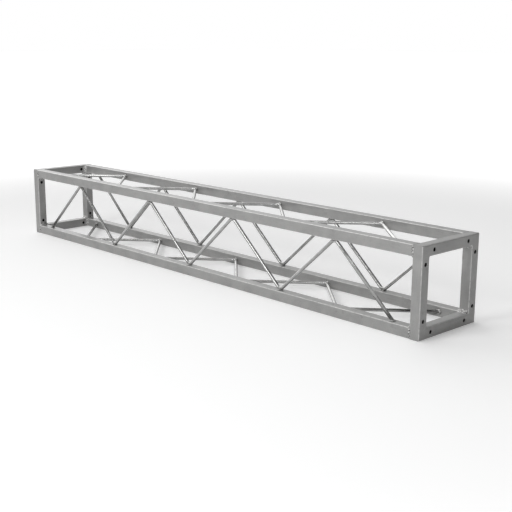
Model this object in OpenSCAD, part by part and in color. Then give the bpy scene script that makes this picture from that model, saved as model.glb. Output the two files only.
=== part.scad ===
// Box truss section for stage lighting: four square-tube chords between two welded
// end frames, with one bent lacing bar on each of the four long faces.
// X runs along the section, Z is up, and the origin is the middle of the underside.
// The cross-section is square, so every long member is one shape turned about the
// section's centre line in quarter turns: bottom, back, top, front.

/* [Section] */
// Length over both end frames
truss_l = 1500; // [1000:10:2000]
// Outside width and height of the square cross-section
truss_side = 200; // [180:5:300]

/* [Tube] */
// Side of the square tube of chords and end frames
tube = 25; // [20:1:30]
// Wall thickness of the tube
tube_wall = 1.5; // [1:0.1:2.2]
// Outside corner radius of the tube
tube_corner_r = 2.5; // [2.3:0.1:4]

/* [End frame bolt holes] */
// Diameter of the holes through both walls, along X
bolt_hole_d = 9; // [7:0.5:11]
// Distance of each hole from the middle of its tube
bolt_hole_offset = 60; // [20:1:64]

/* [Lacing] */
// Diameter of the round lacing bar
bar_d = 8; // [6:0.5:9]
// Straight legs in each lacing bar
leg_count = 8; // [6:2:10]
// Clear distance from an end frame to the lacing's last foot
lacing_end_gap = 53; // [30:1:80]
// Extra radius of the bar where bending upsets it
bend_swell = 0.15; // [0.1:0.05:0.2]
// Weld-filled gap between a bend and the chord
root_gap = 0.4; // [0.3:0.05:0.8]

/* [Welds] */
// Leg length of the fillet welds
weld_leg = 7.5; // [4:0.5:8]
// Thickness of a fillet weld at its toes
weld_toe = 0.4; // [0.3:0.1:0.6]
// Width of the seam beads on the front and back faces
bead_w = 6; // [5:0.5:8]
// Height of the seam beads above the tube surface
bead_h = 1; // [0.6:0.1:1.2]
// Radius of the weld collar around a lacing bend, on the chord face
collar_r = 8; // [7:0.5:9]
// Height of the weld collar above the chord face
collar_h = 3.4; // [3:0.1:4]

/* [Hidden] */
$fn = 64;

// Quarter turns and what lies there: the tube or face k is at the section's
// bottom, back, top or front, and chord k runs along the edge before face k.
FACES = ["bottom", "back", "top", "front"];
CHORDS = ["bottom_front", "bottom_back", "top_back", "top_front"];
ENDS = ["left", "right"];

paint = [0.64, 0.64, 0.63];
paint_end = [0.58, 0.58, 0.57];
weld_paint = [0.70, 0.70, 0.69];

half_l = truss_l / 2;
half_side = truss_side / 2;
chord_half_l = half_l - tube;
window_half = half_side - tube;
flat_w = tube - 2 * tube_corner_r;
mid_tube = half_side - tube / 2;

// Lacing: the centre lines of neighbouring legs meet on the chord faces, and the bend
// radius follows from the bar clearing the chord by the root gap.
bend_pitch = 2 * (chord_half_l - lacing_end_gap) / leg_count;
leg_angle = atan2(2 * window_half, bend_pitch);
bar_r = bar_d / 2;
bend_r = (bar_r + root_gap) / (1 / cos(leg_angle) - 1);
bend_tangent = bend_r * tan(leg_angle);
leg_l = norm([2 * window_half, bend_pitch]);
joint_overlap = 0.5;
bar_slab = 30;

// Turns the bottom member k quarter turns about the section's centre line.
module at_face(k)
    translate([0, 0, half_side])
        rotate([90 * k, 0, 0])
            translate([0, 0, -half_side])
                children();

// Mirrors the right end's member to the left end for e = 0.
module at_end(e)
    mirror([1 - e, 0, 0])
        children();

module rounded_square(side, r) {
    square([side, side - 2 * r], center = true);
    square([side - 2 * r, side], center = true);
    for (x = [-1, 1], y = [-1, 1])
        translate([x, y] * (side / 2 - r))
            circle(r);
}

module tube_profile()
    difference() {
        rounded_square(tube, tube_corner_r);
        rounded_square(tube - 2 * tube_wall, tube_corner_r - tube_wall);
    }

// A tube along X, centred on the origin.
module tube_along_x(l)
    rotate([90, 0, 90])
        linear_extrude(l, center = true)
            tube_profile();

// The chord along the section's lower front edge.
module chord()
    color(paint)
        translate([0, -mid_tube, tube / 2])
            tube_along_x(2 * chord_half_l);

// The lower tube of the right end frame, mitred at both ends and drilled for bolts.
module frame_tube()
    color(paint_end)
        difference() {
            intersection() {
                translate([half_l - tube / 2, 0, tube / 2])
                    rotate([0, 0, 90])
                        tube_along_x(truss_side);
                translate([half_l - tube, 0, 0])
                    rotate([90, 0, 90])
                        linear_extrude(tube)
                            polygon([
                                [-half_side, 0], [half_side, 0],
                                [window_half, tube], [-window_half, tube]
                            ]);
            }
            for (y = [-1, 1] * bolt_hole_offset)
                translate([half_l - tube - 1, y, tube / 2])
                    rotate([0, 90, 0])
                        cylinder(h = tube + 2, d = bolt_hole_d);
        }

// Place of lacing node i along X, and its side: 1 at the back chord, -1 at the front one.
function node_x(i) = (i - leg_count / 2) * bend_pitch;
function node_side(i) = i % 2 == 0 ? 1 : -1;

// A bend of the lacing bar whose theoretical corner is at the origin, opening towards +Y.
module bend(r)
    translate([0, bend_r / cos(leg_angle), 0])
        rotate([0, 0, -90 - leg_angle])
            rotate_extrude(angle = 2 * leg_angle)
                translate([bend_r, 0])
                    circle(r);

// Puts a shape made at the origin, opening towards +Y, on lacing node i of the bottom face.
module at_node(i)
    translate([node_x(i), node_side(i) * window_half, tube / 2])
        mirror([0, node_side(i) > 0 ? 1 : 0, 0])
            children();

// The lacing bar of the bottom face: straight legs joined by bends, cut off on the chord
// at both ends.
module lacing_bar()
    color(paint)
        intersection() {
            union() {
                for (i = [0:leg_count - 1])
                    leg(i);
                for (i = [1:leg_count - 1])
                    at_node(i)
                        bend(bar_r + bend_swell);
            }
            translate([-half_l, -window_half, 0])
                cube([truss_l, 2 * window_half, bar_slab]);
        }

// A straight length of bar that leaves the origin at an angle in the XY plane.
module bar_along(angle, start, stop)
    rotate([0, 0, angle])
        translate([start, 0, 0])
            rotate([0, 90, 0])
                cylinder(h = stop - start, r = bar_r);

// Leg i runs from node i to node i + 1. The first and last legs run on past their own
// foot, where the bar is cut off.
module leg(i) {
    trim = bend_tangent - joint_overlap;
    start = i == 0 ? -bar_d : trim;
    stop = i == leg_count - 1 ? leg_l + bar_d : leg_l - trim;
    translate([node_x(i), node_side(i) * window_half, tube / 2])
        bar_along(-node_side(i) * leg_angle, start, stop);
}

// Section of a concave fillet weld in the corner of the axes.
module fillet_profile()
    difference() {
        square(weld_leg);
        translate([weld_leg, weld_leg])
            circle(weld_leg - weld_toe);
    }

// A fillet weld along Z, in the corner of the X and Y axes.
module fillet_weld(l)
    linear_extrude(l, center = true)
        fillet_profile();

// A low bead along Z, on the plane Y = 0, standing up towards -Y.
module seam_bead(l) {
    bead_r = (bead_w * bead_w / 4 + bead_h * bead_h) / (2 * bead_h);
    linear_extrude(l, center = true)
        intersection() {
            translate([0, bead_r - bead_h])
                circle(bead_r);
            translate([-bead_w, -2 * bead_h])
                square([2 * bead_w, 2 * bead_h]);
        }
}

// Welds of the lower front chord on the right end frame: a fillet in each of its two
// inner corners.
module chord_fillets() {
    translate([chord_half_l, -mid_tube, tube])
        mirror([1, 0, 0])
            rotate([90, 0, 0])
                fillet_weld(flat_w);
    translate([chord_half_l, -window_half, tube / 2])
        mirror([1, 0, 0])
            fillet_weld(flat_w);
}

// Chord k's fillets at its right end, and the bead on the seam that shows outside, at
// the front or back face.
module chord_weld(k)
    color(weld_paint) {
        at_face(k)
            chord_fillets();
        mirror([0, k == 1 || k == 2 ? 1 : 0, 0])
            translate([chord_half_l, -half_side, k < 2 ? tube / 2 : truss_side - tube / 2])
                seam_bead(flat_w);
    }

// Fillets in the four inner corners of the right end frame's window.
module frame_corner_welds()
    color(weld_paint)
        for (k = [0:3])
            at_face(k)
                translate([half_l - tube / 2, -window_half, tube])
                    rotate([90, 0, 90])
                        fillet_weld(flat_w);

// A collar of weld on the plane Y = 0, standing up towards +Y around the bar given as child.
module weld_collar() {
    cap_r = (collar_r * collar_r + collar_h * collar_h) / (2 * collar_h);
    difference() {
        intersection() {
            translate([0, collar_h - cap_r, 0])
                sphere(cap_r);
            translate([-collar_r, 0, -collar_r])
                cube([2 * collar_r, collar_h + 1, 2 * collar_r]);
        }
        children();
    }
}

// Weld collars at every bend and at both ends of the bottom face's lacing bar.
module lacing_welds()
    color(weld_paint) {
        for (i = [1:leg_count - 1])
            at_node(i)
                weld_collar()
                    bend(bar_r + bend_swell);
        at_node(0)
            weld_collar()
                bar_along(leg_angle, -bar_d, 2 * collar_r);
        at_node(leg_count)
            weld_collar()
                bar_along(180 - leg_angle, -bar_d, 2 * collar_r);
    }

for (k = [0:3])
    at_face(k) chord();
for (e = [0:1], k = [0:3])
    at_end(e) at_face(k) frame_tube();
for (k = [0:3])
    at_face(k) lacing_bar();
for (e = [0:1], k = [0:3])
    at_end(e) chord_weld(k);
for (e = [0:1])
    at_end(e) frame_corner_welds();
for (k = [0:3])
    at_face(k) lacing_welds();
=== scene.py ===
"""Looks of the lighting truss section: satin silver paint on welded square tube, bent lacing
bars and rippled weld beads, on a pale studio floor."""

import math

import bmesh
import bpy
from mathutils import Matrix, Vector, noise


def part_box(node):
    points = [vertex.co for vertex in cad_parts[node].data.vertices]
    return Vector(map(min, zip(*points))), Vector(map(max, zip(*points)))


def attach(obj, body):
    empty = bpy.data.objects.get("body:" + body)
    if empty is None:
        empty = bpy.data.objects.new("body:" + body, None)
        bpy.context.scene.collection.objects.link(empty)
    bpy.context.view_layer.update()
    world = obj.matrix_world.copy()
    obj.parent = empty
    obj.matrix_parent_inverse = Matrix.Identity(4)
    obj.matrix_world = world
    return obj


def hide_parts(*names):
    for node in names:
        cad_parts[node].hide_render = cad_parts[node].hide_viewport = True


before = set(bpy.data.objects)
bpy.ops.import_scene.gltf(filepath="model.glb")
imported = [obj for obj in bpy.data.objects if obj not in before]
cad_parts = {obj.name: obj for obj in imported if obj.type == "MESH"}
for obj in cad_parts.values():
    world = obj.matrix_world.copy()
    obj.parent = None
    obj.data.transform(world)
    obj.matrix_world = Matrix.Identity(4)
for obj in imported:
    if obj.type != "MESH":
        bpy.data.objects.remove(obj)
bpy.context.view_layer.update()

FACES = ("bottom", "back", "top", "front")
CHORDS = ("bottom_front", "bottom_back", "top_back", "top_front")
ENDS = ("left", "right")

# ---------------------------------------------------------------- sizes in metres, from the frame

post_lo, post_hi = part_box("right_frame_front_tube")
HALF_L = post_hi.x
TUBE = post_hi.x - post_lo.x
SIDE = post_hi.z - post_lo.z
HALF_SIDE = SIDE / 2
WINDOW = HALF_SIDE - TUBE
MID_TUBE = HALF_SIDE - TUBE / 2
CHORD_END = post_lo.x
CENTRE = Vector((0, 0, HALF_SIDE))
# How far the tubes' centre lines lie from the section's middle, along X, Y and Z.
TUBE_LINES = (HALF_L - TUBE / 2, MID_TUBE, MID_TUBE)

# The CAD's own values, which the frame's boxes don't show.
WALL = 0.0015
LEGS = 8
BAR_R = 0.004
BEND_SWELL = 0.00015
ROOT_GAP = 0.0004
COLLAR_R = 0.008

FOOT_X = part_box("lacing_welds_bottom")[1].x - COLLAR_R
PITCH = 2 * FOOT_X / LEGS
LEG_ANGLE = math.atan2(2 * WINDOW, PITCH)
BEND_R = (BAR_R + ROOT_GAP) / (1 / math.cos(LEG_ANGLE) - 1)

# ---------------------------------------------------------------- shader nodes

def feed(tree, socket, value):
    """Links an input to the output given, or sets it to the value given."""
    if isinstance(value, bpy.types.NodeSocket):
        tree.links.new(value, socket)
    elif value is not None:
        socket.default_value = value


def add(tree, kind, operation=None, *values):
    """A new node with its operation set, and its inputs fed with values in turn."""
    node = tree.nodes.new(kind)
    if operation:
        node.operation = operation
    for socket, value in zip(node.inputs, values):
        feed(tree, socket, value)
    return node


def math_node(tree, operation, *values):
    return add(tree, "ShaderNodeMath", operation, *values).outputs["Value"]


def spread(tree, value, lo, hi, out_lo=0.0, out_hi=1.0):
    """Carries value smoothly from lo..hi to out_lo..out_hi, and holds it beyond."""
    node = add(tree, "ShaderNodeMapRange", None, value, lo, hi, out_lo, out_hi)
    node.interpolation_type = "SMOOTHSTEP"
    return node.outputs["Result"]


def mottle(tree, marks, stretch=(1, 1, 1)):
    """Noise in the object's own metres, 0 where there is no mark and 1 where it is full."""
    scale, detail, lo, hi = marks
    place = add(tree, "ShaderNodeTexCoord").outputs["Object"]
    drawn = add(tree, "ShaderNodeVectorMath", "MULTIPLY", place, stretch).outputs["Vector"]
    grains = tree.nodes.new("ShaderNodeTexNoise")
    grains.inputs["Scale"].default_value = scale
    grains.inputs["Detail"].default_value = detail
    tree.links.new(drawn, grains.inputs["Vector"])
    return spread(tree, grains.outputs["Fac"], lo, hi)


def blend_colour(tree, amount, under, over):
    node = tree.nodes.new("ShaderNodeMix")
    node.data_type = "RGBA"
    tree.links.new(amount, node.inputs["Factor"])
    for name, value in (("A", under), ("B", over)):
        socket = [s for s in node.inputs if s.name == name and s.type == "RGBA"][0]
        feed(tree, socket, (*value, 1) if isinstance(value, tuple) else value)
    return [s for s in node.outputs if s.type == "RGBA"][0]


def layer(tree, under, marks, over, strength):
    """Lays a colour over another where the marks are, never thicker than strength."""
    return blend_colour(tree, math_node(tree, "MULTIPLY", marks, strength), under, over)


def roughen(tree, roughness, marks, by):
    return math_node(tree, "MULTIPLY_ADD", marks, by, roughness)


def bump(tree, height, depth, under=None):
    """Relief of a height map, depth metres high, laid over an earlier relief."""
    node = tree.nodes.new("ShaderNodeBump")
    node.inputs["Distance"].default_value = depth
    tree.links.new(height, node.inputs["Height"])
    if under:
        tree.links.new(under, node.inputs["Normal"])
    return node.outputs["Normal"]


# ---------------------------------------------------------------- camera and light

CAM_AZIMUTH = math.radians(46.61)
CAM_ELEVATION = math.radians(13.17)
CAM_ROLL = math.radians(0.235)
CAM_TARGET = Vector((0.0859, 0.0697, 0.0388))
CAM_DISTANCE = 2.488
CAM_LENS = 65.83
CAM_SENSOR = 36
CAM_NEAR = 0.05
CAM_FAR = 100


def camera():
    """The photograph's viewpoint, with no shift and no depth of field."""
    data = bpy.data.cameras.new("camera")
    data.lens = CAM_LENS
    data.sensor_width = CAM_SENSOR
    data.clip_start = CAM_NEAR
    data.clip_end = CAM_FAR
    cam = bpy.data.objects.new("camera", data)
    bpy.context.collection.objects.link(cam)
    back = Vector((
        math.sin(CAM_AZIMUTH) * math.cos(CAM_ELEVATION),
        -math.cos(CAM_AZIMUTH) * math.cos(CAM_ELEVATION),
        math.sin(CAM_ELEVATION),
    ))
    cam.location = CAM_TARGET + back * CAM_DISTANCE
    aim = (-back).to_track_quat("-Z", "Y").to_matrix()
    cam.rotation_euler = (aim @ Matrix.Rotation(CAM_ROLL, 3, "Z")).to_euler()
    bpy.context.scene.camera = cam


def area_light(name, place, target, size, power):
    data = bpy.data.lights.new(name, "AREA")
    data.shape = "DISK"
    data.size = size
    data.energy = power
    lamp = bpy.data.objects.new(name, data)
    bpy.context.collection.objects.link(lamp)
    lamp.location = place
    lamp.rotation_euler = (Vector(target) - Vector(place)).to_track_quat("-Z", "Y").to_euler()


# The surround's soft lobes: azimuth from +X towards +Y and height in degrees, and strength.
SURROUND = (
    (0, 90, 0.4),
    (315, 12, 1.0),
    (135, 12, 0.52),
    (160, 10, 0.45),
    (180, 12, 1.05),
    (180, 42, 1.6),
)
LOBE_SHARPNESS = 6
# Softboxes: name, place, aim, diameter and power.
SOFTBOXES = (
    ("key", (-0.1, -2.8, 1.8), (0.1, 0, 0.1), 1.6, 36),
    ("fill", (2.2, -1.9, 1.5), (0.5, 0, 0.1), 0.8, 8.5),
)
WHITE = (1, 1, 1, 1)
FLOOR_SIZE = 60
FLOOR_BOUNCE = 0.9
FLOOR_ROUGH = 0.9
# To the camera the floor glows by this much, and from the near distance to the far one it
# turns white.
FLOOR_LIFT = 0.19
FLOOR_NEAR = 1.2
FLOOR_FAR = 3.5


def surround_glow(tree):
    """The surround's brightness in a direction: the sum of its lobes."""
    toward = add(tree, "ShaderNodeTexCoord").outputs["Generated"]
    total = 0.0
    for azimuth, height, strength in SURROUND:
        turn, lift = math.radians(azimuth), math.radians(height)
        aim = (math.cos(turn) * math.cos(lift), math.sin(turn) * math.cos(lift), math.sin(lift))
        side = add(tree, "ShaderNodeVectorMath", "DOT_PRODUCT", toward, aim).outputs["Value"]
        lobe = math_node(tree, "POWER", math_node(tree, "MAXIMUM", side, 0.0), LOBE_SHARPNESS)
        total = math_node(tree, "MULTIPLY_ADD", lobe, strength, total)
    return total


def studio():
    """A pale floor that fades into a white surround, lit by its lobes and the softboxes."""
    world = bpy.data.worlds.new("studio")
    bpy.context.scene.world = world
    world.use_nodes = True
    tree = world.node_tree
    seen = add(tree, "ShaderNodeLightPath").outputs["Is Camera Ray"]
    sky = add(tree, "ShaderNodeMix", None, seen, None, surround_glow(tree), 1.0)
    tree.links.new(sky.outputs["Result"], tree.nodes["Background"].inputs["Strength"])
    tree.nodes["Background"].inputs["Color"].default_value = WHITE
    for softbox in SOFTBOXES:
        area_light(*softbox)
    bpy.ops.mesh.primitive_plane_add(size=FLOOR_SIZE, location=(0, 0, 0))
    floor = bpy.context.object
    floor.name = "floor"
    paint = bpy.data.materials.new("floor_paint")
    paint.use_nodes = True
    tree = paint.node_tree
    shader = tree.nodes["Principled BSDF"]
    shader.inputs["Base Color"].default_value = (FLOOR_BOUNCE,) * 3 + (1,)
    shader.inputs["Roughness"].default_value = FLOOR_ROUGH
    shader.inputs["Emission Color"].default_value = WHITE
    place = add(tree, "ShaderNodeTexCoord").outputs["Object"]
    reach = add(tree, "ShaderNodeVectorMath", "LENGTH", place).outputs["Value"]
    lift = spread(tree, reach, FLOOR_NEAR, FLOOR_FAR, FLOOR_LIFT, 1.0)
    seen = add(tree, "ShaderNodeLightPath").outputs["Is Camera Ray"]
    tree.links.new(math_node(tree, "MULTIPLY", lift, seen), shader.inputs["Emission Strength"])
    floor.data.materials.append(paint)
    bpy.context.scene.view_settings.view_transform = "Standard"


# ---------------------------------------------------------------- mesh making

def at_face(k):
    """Turns what is made on the bottom face k quarter turns about the section's centre line."""
    turn = Matrix.Rotation(math.radians(90 * k), 4, "X")
    return Matrix.Translation(CENTRE) @ turn @ Matrix.Translation(-CENTRE)


def at_end(e):
    """Leaves the right end as it is for e = 1 and mirrors it to the left end for e = 0."""
    return Matrix.Scale(1 if e else -1, 4, Vector((1, 0, 0)))


def tube_mesh(rings):
    """Joins closed rings of points into one skin with a flat cap on both ends."""
    count = len(rings[0])
    points = [p for ring in rings for p in ring]
    faces = []
    for r in range(len(rings) - 1):
        for i in range(count):
            j = (i + 1) % count
            faces.append((r * count + i, r * count + j, (r + 1) * count + j, (r + 1) * count + i))
    faces.append(tuple(reversed(range(count))))
    faces.append(tuple((len(rings) - 1) * count + i for i in range(count)))
    return points, faces


def piece(name, parts, material, replaced, crests=None):
    """One object from (points, faces, matrix) parts, riding on the frame in place of a CAD node.
    Crests, one for each point, are kept on the mesh for the weld paint to read as the mask of its painted
    shade."""
    points, faces = [], []
    for part_points, part_faces, place in parts:
        start = len(points)
        points += [place @ Vector(p) for p in part_points]
        faces += [tuple(start + i for i in face) for face in part_faces]
    data = bpy.data.meshes.new(name)
    data.from_pydata(points, [], faces)
    shape = bmesh.new()
    shape.from_mesh(data)
    bmesh.ops.recalc_face_normals(shape, faces=shape.faces)
    shape.to_mesh(data)
    shape.free()
    data.materials.append(material)
    if crests:
        data.attributes.new("crest", "FLOAT", "POINT").data.foreach_set("value", crests)
    made = bpy.data.objects.new(name, data)
    bpy.context.collection.objects.link(made)
    for polygon in data.polygons:
        polygon.use_smooth = len(polygon.vertices) == 4
    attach(made, "root")
    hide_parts(replaced)


# ---------------------------------------------------------------- lacing bars

RING_POINTS = 24
BEND_STEPS = 14
FOOT_SINK = 0.0002


def node_side(i):
    """The lacing's nodes take turns between the back chord, 1, and the front one, -1."""
    return 1 if i % 2 == 0 else -1


def node_at(i):
    return Vector(((i - LEGS / 2) * PITCH, node_side(i) * WINDOW, TUBE / 2))


def bar_path():
    """Centre line of the bottom face's bar, as (point, tangent, how far into a bend)."""
    path = []
    for i in range(1, LEGS):
        side = node_side(i)
        centre = node_at(i) - Vector((0, side * BEND_R / math.cos(LEG_ANGLE), 0))
        for step in range(BEND_STEPS + 1):
            turn = LEG_ANGLE * (2 * step / BEND_STEPS - 1)
            point = centre + BEND_R * Vector((math.sin(turn), side * math.cos(turn), 0))
            tangent = Vector((math.cos(turn), -side * math.sin(turn), 0))
            path.append((point, tangent, math.cos(turn / LEG_ANGLE * math.pi / 2)))
    return path


def bar_ring(centre, tangent, radius):
    across = tangent.cross(Vector((0, 0, 1)))
    ring = []
    for i in range(RING_POINTS):
        a = 2 * math.pi * i / RING_POINTS
        ring.append(centre + radius * (math.cos(a) * across + math.sin(a) * Vector((0, 0, 1))))
    return ring


def foot_ring(foot, tangent, side):
    """The bar's cut end: its ring slid along the leg to the chord's face."""
    plane = side * (WINDOW + FOOT_SINK)
    ring = bar_ring(foot, tangent, BAR_R)
    return [p + tangent * ((plane - p.y) / tangent.y) for p in ring]


def lacing_bar(k, material):
    path = bar_path()
    rings = [foot_ring(node_at(0), path[0][1], node_side(0))]
    rings += [bar_ring(p, t, BAR_R + BEND_SWELL * bent) for p, t, bent in path]
    rings.append(foot_ring(node_at(LEGS), path[-1][1], node_side(LEGS)))
    points, faces = tube_mesh(rings)
    name = "lacing_bar_" + FACES[k]
    piece(name + "_bent", [(points, faces, at_face(k))], material, name)


# ---------------------------------------------------------------- welds

# Fillets: leg, length and fullness, then the ripples' pitch, lean and height.
FILLET_LEG = 0.0075
FILLET_LENGTH = 0.0225
FILLET_FULLNESS = 0.35
FILLET_PITCH = 0.0036
FILLET_LEAN = 1.4
FILLET_RIPPLE = 0.0006
# Seam beads: between ripples their height falls to this share of the whole.
SEAM_WIDTH = 0.0058
SEAM_HEIGHT = 0.0015
SEAM_LENGTH = 0.0205
SEAM_CROWN = 0.7
SEAM_VALLEY = 0.12
SEAM_PITCH = 0.0065
SEAM_LEAN = 0.9
SEAM_SLANT = 0.5
# How far a bead's width wanders, and the scale and plane of the noise that it follows.
FILLET_WANDER = 0.07
FILLET_NOISE = (260, 0)
SEAM_WANDER = 0.08
SEAM_NOISE = (220, 7)
# Fillets and seam beads alike: the ends' shape and smallest scale, the steps along and
# across, and how deep a bead sinks into the tubes.
END_SQUARENESS = 5
END_STUB = 0.05
BEAD_STEP = 0.00035
BEAD_SPAN = 12
ROOT_DEPTH = 0.0003
# Below 1, a ripple rises fast and falls off slowly.
RIPPLE_SKEW = 0.6

COLLAR_REACH = 0.0072
COLLAR_HIGH = 0.003
COLLAR_CROWN = 0.75
COLLAR_RIPPLES = 13
COLLAR_LEAN = 0.8
COLLAR_RINGS = 12
COLLAR_POINTS = 78
# How strongly ripples and lumps show in a collar's outline and in its height.
COLLAR_EDGE_RIPPLE = 0.03
COLLAR_EDGE_LUMP = 0.07
COLLAR_TOP_RIPPLE = 0.12
COLLAR_TOP_LUMP = 0.06
COLLAR_LUMP_SCALE = 1.3
# The crest at a collar's top, and how sharply crests fade out at its toe, where the weld paint turns the fade
# into painted shade.
COLLAR_CREST = 0.5
COLLAR_TOE = 6


def ripple(s, t, pitch, lean):
    """Height of the ripples of a weld run, 0 to 1: crescents that lean with the travel."""
    phase = s / pitch + lean * (t - 0.5) ** 2
    wave = phase - math.floor(phase)
    return math.sin(math.pi * wave ** RIPPLE_SKEW)


def end_taper(s, length):
    """The bead's scale along its length: full in the middle and rounded off at both ends."""
    return max(END_STUB, (1 - min(1, abs(2 * s / length)) ** END_SQUARENESS) ** 0.5)


def stations(length, seed, noise_scale, noise_plane):
    """Places along a bead, each with the bead's scale there and the wander of its width."""
    steps = int(length / BEAD_STEP)
    for i in range(steps + 1):
        s = (i / steps - 0.5) * length
        yield s, end_taper(s, length), noise.noise(Vector((s * noise_scale, seed, noise_plane)))


def fillet(length, seed):
    """A fillet weld along Z in the corner of the X and Y axes, with ripples on its face."""
    rings, crests = [], []
    out = Vector((1, 1, 0)).normalized()
    for s, scale, wander in stations(length, seed, *FILLET_NOISE):
        leg = FILLET_LEG * scale * (1 + FILLET_WANDER * wander)
        ring = [Vector((-ROOT_DEPTH, -ROOT_DEPTH, s))]
        crests.append(0)
        for j in range(BEAD_SPAN + 1):
            t = j / BEAD_SPAN
            a = t * math.pi / 2
            hollow = Vector((leg * (1 - math.sin(a)), leg * (1 - math.cos(a)), 0))
            flat = Vector((leg * (1 - t), leg * t, 0))
            face = hollow.lerp(flat, FILLET_FULLNESS)
            crest = ripple(s, t, FILLET_PITCH, FILLET_LEAN)
            lift = FILLET_RIPPLE * scale * math.sin(math.pi * t) * crest
            ring.append(face + out * lift + Vector((0, 0, s)))
            crests.append(crest)
        # The toes are sunk into the two tubes.
        ring[1].y = -ROOT_DEPTH
        ring[-1].x = -ROOT_DEPTH
        rings.append(ring)
    return *tube_mesh(rings), crests


def seam(length, seed):
    """A low bead along Z on the plane Y = 0, standing up towards -Y."""
    rings, crests = [], []
    for s, scale, wander in stations(length, seed, *SEAM_NOISE):
        width = SEAM_WIDTH * scale * (1 + SEAM_WANDER * wander)
        ring = [Vector((width / 2, ROOT_DEPTH, s)), Vector((-width / 2, ROOT_DEPTH, s))]
        crests += [0, 0]
        for j in range(BEAD_SPAN + 1):
            t = j / BEAD_SPAN
            across = width * (t - 0.5)
            crown = (1 - (2 * t - 1) ** 2) ** SEAM_CROWN
            crest = ripple(s - SEAM_SLANT * across, t, SEAM_PITCH, SEAM_LEAN)
            height = SEAM_HEIGHT * scale * crown * (SEAM_VALLEY + (1 - SEAM_VALLEY) * crest)
            ring.append(Vector((across, -height, s)))
            crests.append(crest)
        rings.append(ring)
    return *tube_mesh(rings), crests


def collar_points(seed):
    """Surface of a collar from its top outwards, ring by ring, with the ripples' crests."""
    points, crests = [Vector((0, COLLAR_HIGH, 0))], [COLLAR_CREST]
    for r in range(1, COLLAR_RINGS + 1):
        out = r / COLLAR_RINGS
        for i in range(COLLAR_POINTS):
            a = 2 * math.pi * i / COLLAR_POINTS
            place = Vector((math.cos(a) * COLLAR_LUMP_SCALE, math.sin(a) * COLLAR_LUMP_SCALE, seed))
            lump = noise.noise(place)
            wave = ripple(a / (2 * math.pi) * COLLAR_RIPPLES, out, 1, COLLAR_LEAN)
            reach = COLLAR_REACH * out * (1 + COLLAR_EDGE_LUMP * lump + COLLAR_EDGE_RIPPLE * wave * out)
            rise = 1 + COLLAR_TOP_RIPPLE * (wave - 0.5) * out + COLLAR_TOP_LUMP * lump
            height = COLLAR_HIGH * (1 - out * out) ** COLLAR_CROWN * rise
            points.append(Vector((reach * math.cos(a), height, reach * math.sin(a))))
            # Crests fall to 0 at the toe, so the weld paint lays painted shade where a collar meets the
            # chord.
            crests.append(wave * (1 - out ** COLLAR_TOE))
    return points, crests


def collar(seed):
    """Weld mounded round a lacing node, on the plane Y = 0, standing up towards +Y."""
    points, crests = collar_points(seed)
    last = len(points) - COLLAR_POINTS
    sunk = len(points)
    points += [p - Vector((0, ROOT_DEPTH, 0)) for p in points[last:]]
    faces = [tuple(range(sunk, len(points)))]
    for i in range(COLLAR_POINTS):
        j = (i + 1) % COLLAR_POINTS
        faces.append((0, 1 + i, 1 + j))
        for inner in range(1, last + 1, COLLAR_POINTS):
            outer = inner + COLLAR_POINTS
            faces.append((inner + i, outer + i, outer + j, inner + j))
    return points, faces, crests + [0] * COLLAR_POINTS


FLIP_X = Matrix.Scale(-1, 4, Vector((1, 0, 0)))
ALONG_Y = Matrix.Rotation(math.radians(90), 4, "X")
ALONG_X = Matrix.Rotation(math.radians(90), 4, "Z") @ ALONG_Y
# The first seeds of two kinds of weld; the chords' welds start at 0, and no seed comes twice
# in a kind of bead.
FRAME_SEED = 40
LACING_SEED = 60


def weld_piece(name, beads, material):
    """One piece from (bead, matrix) pairs, with the beads' crests on its mesh."""
    parts = [(bead[0], bead[1], place) for bead, place in beads]
    crests = [crest for bead, place in beads for crest in bead[2]]
    piece(name + "_beads", parts, material, name, crests)


def chord_weld(e, k, material):
    """Welds of chord k at one end: two inner fillets and the bead on the seam outside."""
    seed = 10 * e + k
    on_post = Matrix.Translation((CHORD_END, -MID_TUBE, TUBE)) @ FLIP_X @ ALONG_Y
    on_rail = Matrix.Translation((CHORD_END, -WINDOW, TUBE / 2)) @ FLIP_X
    height = TUBE / 2 if k < 2 else SIDE - TUBE / 2
    to_side = Matrix.Scale(-1 if k in (1, 2) else 1, 4, Vector((0, 1, 0)))
    on_seam = to_side @ Matrix.Translation((CHORD_END, -HALF_SIDE, height))
    beads = [
        (fillet(FILLET_LENGTH, seed), at_end(e) @ at_face(k) @ on_post),
        (fillet(FILLET_LENGTH, seed + 0.5), at_end(e) @ at_face(k) @ on_rail),
        (seam(SEAM_LENGTH, seed), at_end(e) @ on_seam),
    ]
    weld_piece("chord_weld_" + ENDS[e] + "_" + CHORDS[k], beads, material)


def frame_corner_welds(e, material):
    """Fillets in the four inner corners of an end frame's window."""
    corner = Matrix.Translation((HALF_L - TUBE / 2, -WINDOW, TUBE)) @ ALONG_X
    beads = []
    for k in range(4):
        seed = FRAME_SEED + 4 * e + k
        beads.append((fillet(FILLET_LENGTH, seed), at_end(e) @ at_face(k) @ corner))
    weld_piece("frame_corner_welds_" + ENDS[e], beads, material)


def lacing_welds(k, material):
    """A mound of weld at each node of face k's lacing bar."""
    beads = []
    for i in range(LEGS + 1):
        up = Matrix.Scale(-node_side(i), 4, Vector((0, 1, 0)))
        seed = LACING_SEED + 10 * k + i
        beads.append((collar(seed), at_face(k) @ Matrix.Translation(node_at(i)) @ up))
    weld_piece("lacing_welds_" + FACES[k], beads, material)


# ---------------------------------------------------------------- materials

SILVER = (0.335, 0.333, 0.328)
SILVER_DEEP = (0.27, 0.269, 0.266)
SILVER_LIGHT = (0.385, 0.383, 0.377)
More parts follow.
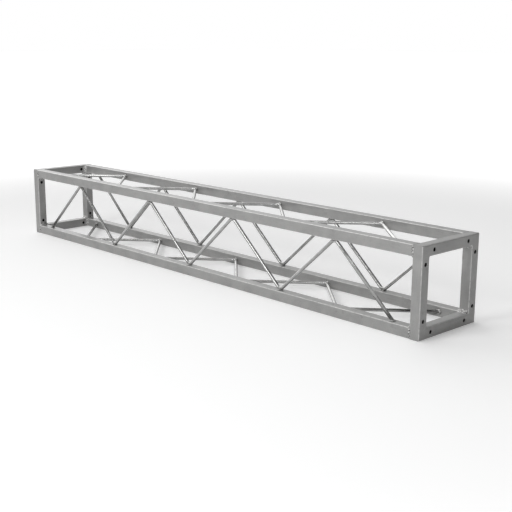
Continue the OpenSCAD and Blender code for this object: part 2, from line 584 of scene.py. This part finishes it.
# Light bare metal: worn flakes, weld metal, and the painted highlight on the tubes' corners.
WORN_METAL_AND_HIGHLIGHT = (0.72, 0.72, 0.71)
GRIME = (0.12, 0.115, 0.105)
BAR_DEEP = (0.42, 0.42, 0.415)
BAR_LIGHT = (0.54, 0.54, 0.535)
WELD_VALLEY_SHADE = (0.05, 0.05, 0.048)
# Inside the tubes: mill scale and rust, darkened nearly to black as painted shade.
MILL_SCALE_AND_SHADE = (0.012, 0.011, 0.01)
RUST_AND_SHADE = (0.02, 0.014, 0.01)

TUBE_METAL = 0.25
TUBE_ROUGH = 0.3
BAR_METAL = 0.85
BAR_ROUGH = 0.18
WELD_METAL = 0.6
WELD_ROUGH = 0.24
STEEL_METAL = 0.3
STEEL_ROUGH = 0.6

# Marks as noise: scale, detail, and the noise where a mark starts and where it is full.
TUBE_STREAKS = (900, 3, 0.38, 0.62)
TUBE_CLOUDS = (26, 3, 0.3, 0.7)
TUBE_PEEL = (1100, 2, 0.2, 0.8)
TUBE_FLAKES = (5200, 0, 0.45, 0.6)
TUBE_RUBS_AND_HIGHLIGHT = (160, 4, 0.32, 0.56)
TUBE_SCUFFS = (330, 2, 0.69, 0.76)
TUBE_DIRT = (75, 5, 0.6, 0.8)
BAR_CLOUDS = (60, 4, 0.3, 0.7)
BAR_GRAIN = (1500, 3, 0.3, 0.7)
BAR_MARKS = (420, 3, 0.68, 0.8)
WELD_CLOUDS = (240, 4, 0.35, 0.65)
WELD_PITS = (1400, 3, 0.58, 0.72)
WELD_SOOT = (130, 5, 0.52, 0.66)
STEEL_SCALE = (300, 4, 0.35, 0.7)

# A corner is whole up to the first distance from the tube's centre line, in both
# directions across it, and from the second on it is rubbed and carries a painted highlight.
CORNER_RUB_AND_HIGHLIGHT = (0.0106, 0.0115)
# A weld takes painted shade in its ripples' valleys up to the first crest height, and none from the second
# on.
VALLEY_SHADE_CRESTS = (0.1, 0.62)
BORE_MARGIN = 0.0003
# Faces nearer than this to their tube's centre line are the walls of its bore.
BORE_REACH = TUBE / 2 - WALL + BORE_MARGIN
AXES = "xyz"


def new_material(name, metallic):
    mat = bpy.data.materials.new(name)
    mat.use_nodes = True
    shader = mat.node_tree.nodes["Principled BSDF"]
    shader.inputs["Metallic"].default_value = metallic
    return mat, mat.node_tree, shader


def connect(tree, shader, colour, roughness, relief):
    tree.links.new(colour, shader.inputs["Base Color"])
    tree.links.new(roughness, shader.inputs["Roughness"])
    tree.links.new(relief, shader.inputs["Normal"])


def drawn_out(axis, along, across=1):
    """Scale of a mark that is stretched along one axis."""
    return tuple(along if i == axis else across for i in range(3))


def from_centre(tree, axis):
    """How far a point lies from its tube's centre line along one axis, in metres."""
    place = add(tree, "ShaderNodeTexCoord").outputs["Object"]
    parts = add(tree, "ShaderNodeSeparateXYZ", None, place)
    middle = math_node(tree, "SUBTRACT", parts.outputs[axis], CENTRE[axis])
    out = math_node(tree, "ABSOLUTE", middle)
    return math_node(tree, "ABSOLUTE", math_node(tree, "SUBTRACT", out, TUBE_LINES[axis]))


def tube_paint(axis):
    """Satin silver paint on a drawn tube along one axis, its corners rubbed thin and painted with a
    highlight.
    """
    mat, tree, shader = new_material("tube_paint_" + AXES[axis], TUBE_METAL)
    streaks = mottle(tree, TUBE_STREAKS, drawn_out(axis, along=0.03))
    scuffs = mottle(tree, TUBE_SCUFFS, drawn_out(axis, along=0.12, across=1.6))
    clouds = mottle(tree, TUBE_CLOUDS)
    dirt = mottle(tree, TUBE_DIRT)
    a, b = [from_centre(tree, i) for i in range(3) if i != axis]
    corner = spread(tree, math_node(tree, "MINIMUM", a, b), *CORNER_RUB_AND_HIGHLIGHT)
    rubbed_and_highlit = math_node(tree, "MULTIPLY", corner, mottle(tree, TUBE_RUBS_AND_HIGHLIGHT))
    colour = blend_colour(tree, clouds, SILVER_DEEP, SILVER)
    colour = layer(tree, colour, streaks, SILVER_LIGHT, strength=0.35)
    colour = layer(tree, colour, mottle(tree, TUBE_FLAKES), WORN_METAL_AND_HIGHLIGHT, strength=0.18)
    colour = layer(tree, colour, dirt, GRIME, strength=0.3)
    colour = layer(tree, colour, scuffs, SILVER_DEEP, strength=0.4)
    # Painted highlight and wear: the corners get a light tone for rubbed paint and for the edge's highlight.
    colour = layer(tree, colour, rubbed_and_highlit, WORN_METAL_AND_HIGHLIGHT, strength=0.9)
    roughness = roughen(tree, TUBE_ROUGH, streaks, by=0.05)
    roughness = roughen(tree, roughness, clouds, by=0.04)
    roughness = roughen(tree, roughness, rubbed_and_highlit, by=-0.1)
    roughness = roughen(tree, roughness, dirt, by=0.12)
    relief = bump(tree, mottle(tree, TUBE_PEEL), depth=0.00002)
    relief = bump(tree, streaks, depth=0.000012, under=relief)
    relief = bump(tree, scuffs, depth=-0.00003, under=relief)
    connect(tree, shader, colour, roughness, relief)
    return mat


def bar_paint():
    """Bright drawn round bar under a thin silver coat, with fine grain and rub marks."""
    mat, tree, shader = new_material("bar_paint", BAR_METAL)
    clouds = mottle(tree, BAR_CLOUDS)
    marks = mottle(tree, BAR_MARKS)
    colour = blend_colour(tree, clouds, BAR_DEEP, BAR_LIGHT)
    colour = layer(tree, colour, marks, GRIME, strength=0.25)
    roughness = roughen(tree, BAR_ROUGH, clouds, by=0.06)
    roughness = roughen(tree, roughness, marks, by=0.12)
    connect(tree, shader, colour, roughness, bump(tree, mottle(tree, BAR_GRAIN), depth=0.000015))
    return mat


def weld_paint():
    """Weld metal under the same coat: grainy and pitted, with soot, and painted shade between its ripples and
    at the collars' toes.
    """
    mat, tree, shader = new_material("weld_paint", WELD_METAL)
    clouds = mottle(tree, WELD_CLOUDS)
    pits = mottle(tree, WELD_PITS)
    crest = tree.nodes.new("ShaderNodeAttribute")
    crest.attribute_name = "crest"
    valley_shade = spread(tree, crest.outputs["Fac"], *VALLEY_SHADE_CRESTS, 1.0, 0.0)
    colour = blend_colour(tree, clouds, SILVER, WORN_METAL_AND_HIGHLIGHT)
    colour = layer(tree, colour, mottle(tree, WELD_SOOT), GRIME, strength=0.35)
    colour = layer(tree, colour, pits, GRIME, strength=0.5)
    # Painted shade: the ripples' valleys and the collars' toes are darkened nearly to black.
    colour = layer(tree, colour, valley_shade, WELD_VALLEY_SHADE, strength=0.85)
    roughness = roughen(tree, WELD_ROUGH, clouds, by=0.12)
    relief = bump(tree, clouds, depth=0.00008)
    relief = bump(tree, pits, depth=-0.00005, under=relief)
    connect(tree, shader, colour, roughness, relief)
    return mat


def bare_steel_and_shade():
    """The unpainted inside of a tube: dark mill scale with a little rust, darkened nearly to black as painted
    shade.
    """
    mat, tree, shader = new_material("bare_steel_and_shade", STEEL_METAL)
    scale = mottle(tree, STEEL_SCALE)
    colour = blend_colour(tree, scale, MILL_SCALE_AND_SHADE, RUST_AND_SHADE)
    connect(tree, shader, colour, roughen(tree, STEEL_ROUGH, scale, by=0.2), bump(tree, scale, depth=0.00005))
    return mat


def tube_finish(node, axis, paint, inside):
    """Paints a CAD tube outside and leaves the walls of its bore as bare steel, darkened as painted shade."""
    data = node.data
    data.materials.clear()
    data.materials.append(paint)
    data.materials.append(inside)
    for polygon in data.polygons:
        place = polygon.center - CENTRE
        reach = max(abs(abs(place[i]) - TUBE_LINES[i]) for i in range(3) if i != axis)
        polygon.material_index = 1 if reach < BORE_REACH else 0


def tube_axes():
    """The CAD tubes' names, each with the axis that the tube runs along."""
    axes = {"chord_" + chord: 0 for chord in CHORDS}
    for end in ENDS:
        for face in FACES:
            axes[end + "_frame_" + face + "_tube"] = 1 if face in ("bottom", "top") else 2
    return axes


# ---------------------------------------------------------------- assembly

camera()
studio()
paints = [tube_paint(axis) for axis in range(3)]
inside = bare_steel_and_shade()
for name, axis in tube_axes().items():
    tube_finish(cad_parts[name], axis, paints[axis], inside)
bar = bar_paint()
weld = weld_paint()
for k in range(4):
    lacing_bar(k, bar)
    lacing_welds(k, weld)
    for e in range(2):
        chord_weld(e, k, weld)
for e in range(2):
    frame_corner_welds(e, weld)
